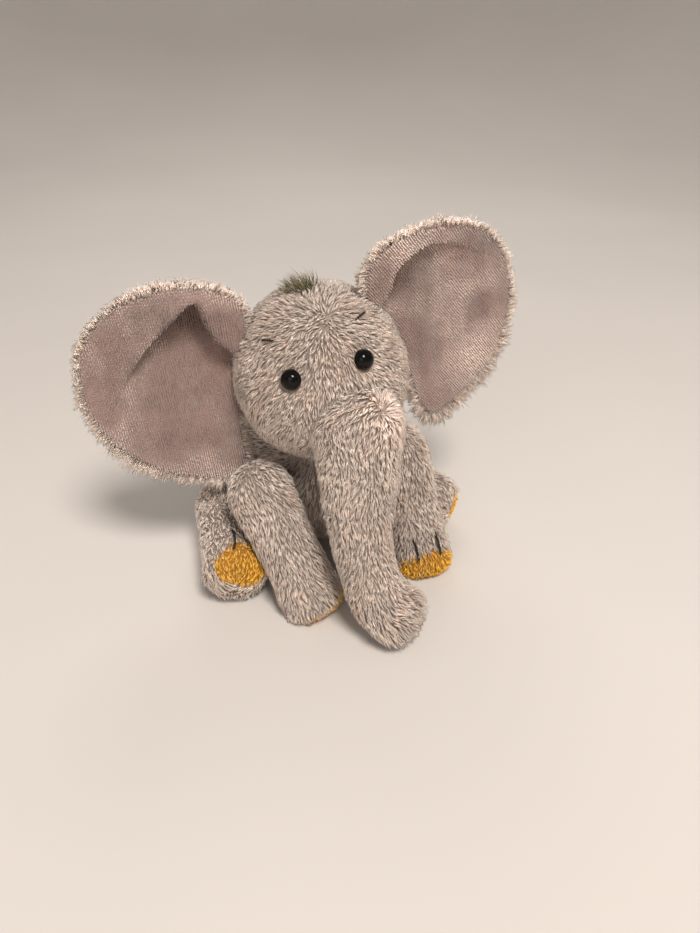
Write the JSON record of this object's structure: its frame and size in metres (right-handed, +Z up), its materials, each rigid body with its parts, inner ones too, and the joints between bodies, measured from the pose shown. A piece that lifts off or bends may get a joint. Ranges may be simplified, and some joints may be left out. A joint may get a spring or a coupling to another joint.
{
  "type": "stuffed elephant",
  "caption": "Small sitting plush elephant with floppy lined ears, hanging trunk, glossy safety eyes, pellet-weighted rump, padded legs with contrasting soles and a tufted crown.",
  "frame": {"origin": "middle of the flat seat under the rump, on the surface that the toy sits on", "axes": "+Z up, -Y the way the body faces, +X to the toy's left"},
  "size_m": [0.2105, 0.2003, 0.1838],
  "materials": {
    "plush": "long soft beige-grey pile, matt",
    "lining": "short mauve nap in fine rows",
    "amber": "short amber pile",
    "olive": "loose olive-green pile",
    "filling": "white polyester filling",
    "pouch": "thin woven cotton",
    "pellets": "small plastic pellets, packed",
    "eye": "glossy black",
    "washer": "moulded lock washer",
    "thread": "dark brown sewing thread"
  },
  "bodies": {
    "body": {"torso_skin": "plush", "torso_stuffing": "filling", "pellet_pouch": "pouch", "pellet_fill": "pellets"},
    "neck": {"neck_stuffing": "filling"},
    "head": {"head_skin": "plush", "head_stuffing": "filling", "eye_left": "eye", "eye_right": "eye", "eye_washer_left": "washer", "eye_washer_right": "washer", "brow_stitch_left": "thread", "brow_stitch_right": "thread", "hair_tuft": "olive"},
    "trunk_upper": {"trunk_upper_skin": "plush", "trunk_upper_stuffing": "filling"},
    "trunk_lower": {"trunk_lower_skin": "plush", "trunk_lower_stuffing": "filling"},
    "ear_left": {"ear_back_left": "plush", "ear_lining_left": "lining"},
    "ear_right": {"ear_back_right": "plush", "ear_lining_right": "lining"},
    "tail": {"tail_skin": "plush", "tail_tuft": "olive"},
    "front_leg_left": {"front_leg_left_skin": "plush", "front_leg_left_stuffing": "filling", "front_leg_left_sole": "amber", "front_leg_left_toe_stitch_inner": "thread", "front_leg_left_toe_stitch_outer": "thread"},
    "front_leg_right": {"front_leg_right_skin": "plush", "front_leg_right_stuffing": "filling", "front_leg_right_sole": "amber", "front_leg_right_toe_stitch_inner": "thread", "front_leg_right_toe_stitch_outer": "thread"},
    "hind_leg_left": {"hind_leg_left_skin": "plush", "hind_leg_left_stuffing": "filling", "hind_leg_left_sole": "amber", "hind_leg_left_toe_stitch_inner": "thread", "hind_leg_left_toe_stitch_outer": "thread"},
    "hind_leg_right": {"hind_leg_right_skin": "plush", "hind_leg_right_stuffing": "filling", "hind_leg_right_sole": "amber", "hind_leg_right_toe_stitch_inner": "thread", "hind_leg_right_toe_stitch_outer": "thread"}
  },
  "joints": [
    {"name": "neck_nod", "type": "hinge", "parent": "body", "child": "neck", "pos_m": [-0.004, -0.041, 0.0685], "axis": [0.9613, -0.2756, 0], "range_deg": [-14, 7], "stiffness_Nm_per_rad": 0.45},
    {"name": "head_turn", "type": "hinge", "parent": "neck", "child": "head", "pos_m": [-0.004, -0.041, 0.0685], "axis": [0, 0, 1], "range_deg": [-7, 7], "stiffness_Nm_per_rad": 0.3},
    {"name": "trunk_swing", "type": "hinge", "parent": "head", "child": "trunk_upper", "pos_m": [-0.006, -0.0815, 0.096], "axis": [-0.9613, 0.2756, 0], "range_deg": [-3, 32], "stiffness_Nm_per_rad": 0.12},
    {"name": "trunk_curl", "type": "hinge", "parent": "trunk_upper", "child": "trunk_lower", "pos_m": [-0.0142, -0.1005, 0.056], "axis": [-0.9613, 0.2756, 0], "range_deg": [-6, 30], "stiffness_Nm_per_rad": 0.06},
    {"name": "ear_left_flap", "type": "hinge", "parent": "head", "child": "ear_left", "pos_m": [0.02955, -0.04974, 0.12593], "axis": [-0.4025, 0.1154, 0.9081], "range_deg": [-12, 25], "stiffness_Nm_per_rad": 0.08},
    {"name": "ear_right_flap", "type": "hinge", "parent": "head", "child": "ear_right", "pos_m": [-0.04064, -0.02962, 0.11174], "axis": [-0.0462, 0.0132, -0.9988], "range_deg": [-10, 22], "stiffness_Nm_per_rad": 0.08},
    {"name": "front_leg_left_swing", "type": "hinge", "parent": "body", "child": "front_leg_left", "pos_m": [0.0365, -0.052, 0.056], "axis": [-0.8111, -0.485, 0.327], "range_deg": [-4, 40], "stiffness_Nm_per_rad": 0.1},
    {"name": "front_leg_right_swing", "type": "hinge", "parent": "body", "child": "front_leg_right", "pos_m": [-0.0435, -0.052, 0.056], "axis": [-0.7901, 0.4151, -0.4511], "range_deg": [-4, 40], "stiffness_Nm_per_rad": 0.1},
    {"name": "hind_leg_left_splay", "type": "hinge", "parent": "body", "child": "hind_leg_left", "pos_m": [0.049, -0.014, 0.025], "axis": [0, 0, 1], "range_deg": [0, 25], "stiffness_Nm_per_rad": 0.1},
    {"name": "hind_leg_right_splay", "type": "hinge", "parent": "body", "child": "hind_leg_right", "pos_m": [-0.049, -0.015, 0.025], "axis": [0, 0, -1], "range_deg": [0, 25], "stiffness_Nm_per_rad": 0.1},
    {"name": "tail_swing", "type": "hinge", "parent": "body", "child": "tail", "pos_m": [0, 0.047, 0.03], "axis": [1, 0, 0], "range_deg": [-20, 45], "stiffness_Nm_per_rad": 0.01}
  ]
}
